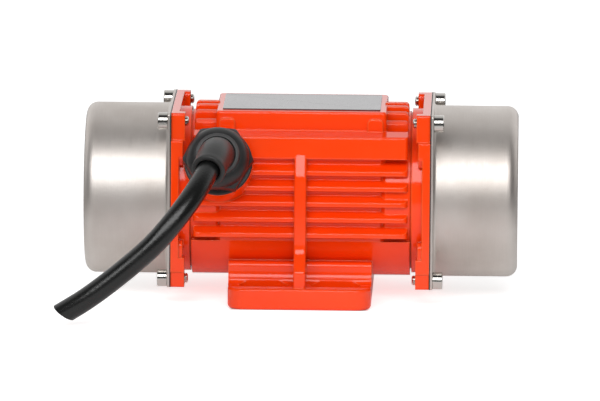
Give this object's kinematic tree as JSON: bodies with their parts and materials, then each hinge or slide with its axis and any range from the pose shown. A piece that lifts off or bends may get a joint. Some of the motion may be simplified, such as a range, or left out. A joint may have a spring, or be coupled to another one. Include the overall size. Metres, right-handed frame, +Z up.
{
  "type": "vibration motor",
  "caption": "Foot-mounted electric vibration motor: finned orange casting with slotted feet, nameplate pad, angled cable gland and round stainless end covers over eccentric weights.",
  "frame": {"origin": "in the mounting plane under the foot, below the middle of the shaft", "axes": "+X along the shaft towards the end cover away from the cable gland, +Z up from the mounting plane, -Y the side with the cable gland"},
  "size_m": [0.2244, 0.1725, 0.0965],
  "materials": {
    "orange_enamel": null,
    "label_grey": "satin, bare",
    "gasket_rubber": "matt",
    "stainless_sheet": "satin, drawn",
    "stainless_screw": "bright",
    "bracket_iron": "machined grey iron",
    "black_screw": "black oxide",
    "bearing_steel": "ground and polished",
    "pressed_steel": "zinc plated",
    "electrical_sheet": "laminated, stacked",
    "copper_winding": "enamelled wire, varnished",
    "cast_aluminium": "as cast",
    "ground_steel": "ground",
    "weight_steel": "sawn plate, oiled",
    "black_nylon": "moulded polyamide",
    "black_rubber": "satin rubber"
  },
  "bodies": {
    "housing": {"motor_housing": "orange_enamel", "nameplate": "label_grey", "cover_gasket_left": "gasket_rubber", "cover_gasket_right": "gasket_rubber", "end_cover_left": "stainless_sheet", "end_cover_right": "stainless_sheet", "cover_screws_left": "stainless_screw", "cover_screws_right": "stainless_screw", "bearing_bracket_left": "bracket_iron", "bearing_bracket_right": "bracket_iron", "bracket_screws_left": "black_screw", "bracket_screws_right": "black_screw", "bearing_outer_race_left": "bearing_steel", "bearing_outer_race_right": "bearing_steel", "stator_core": "electrical_sheet", "stator_winding": "copper_winding", "gland_body": "black_nylon", "gland_nut": "black_nylon", "cable_boot": "black_rubber", "power_cable": "black_rubber"},
    "rotor": {"motor_shaft": "ground_steel", "rotor_core": "electrical_sheet", "rotor_end_rings": "cast_aluminium", "bearing_inner_race_left": "bearing_steel", "bearing_inner_race_right": "bearing_steel", "shaft_key_left": "ground_steel", "shaft_key_right": "ground_steel", "fixed_weight_left": "weight_steel", "fixed_weight_right": "weight_steel", "force_dial_left": "pressed_steel", "force_dial_right": "pressed_steel", "shaft_circlip_left": "pressed_steel", "shaft_circlip_right": "pressed_steel"},
    "weight_left": {"adjustable_weight_left": "weight_steel", "clamp_screw_left": "black_screw"},
    "ball_set_left": {"bearing_balls_left": "bearing_steel", "bearing_cage_left": "pressed_steel"},
    "weight_right": {"adjustable_weight_right": "weight_steel", "clamp_screw_right": "black_screw"},
    "ball_set_right": {"bearing_balls_right": "bearing_steel", "bearing_cage_right": "pressed_steel"}
  },
  "joints": [
    {"name": "rotor_spin", "type": "hinge", "parent": "housing", "child": "rotor", "pos_m": [0, 0, 0.0525], "axis": [1, 0, 0], "continuous": true},
    {"name": "weight_setting_left", "type": "hinge", "parent": "rotor", "child": "weight_left", "pos_m": [-0.0865, 0, 0.0525], "axis": [1, 0, 0], "range_deg": [0, 180]},
    {"name": "weight_setting_right", "type": "hinge", "parent": "rotor", "child": "weight_right", "pos_m": [0.0865, 0, 0.0525], "axis": [1, 0, 0], "range_deg": [0, 180]},
    {"name": "ball_spin_left", "type": "hinge", "parent": "housing", "child": "ball_set_left", "pos_m": [-0.0545, 0, 0.0525], "axis": [1, 0, 0], "continuous": true},
    {"name": "ball_spin_right", "type": "hinge", "parent": "housing", "child": "ball_set_right", "pos_m": [0.0545, 0, 0.0525], "axis": [1, 0, 0], "continuous": true}
  ],
  "couplings": [
    {"joint": "ball_spin_left", "follows": "rotor_spin", "ratio": 0.36406},
    {"joint": "ball_spin_right", "follows": "rotor_spin", "ratio": 0.36406}
  ]
}
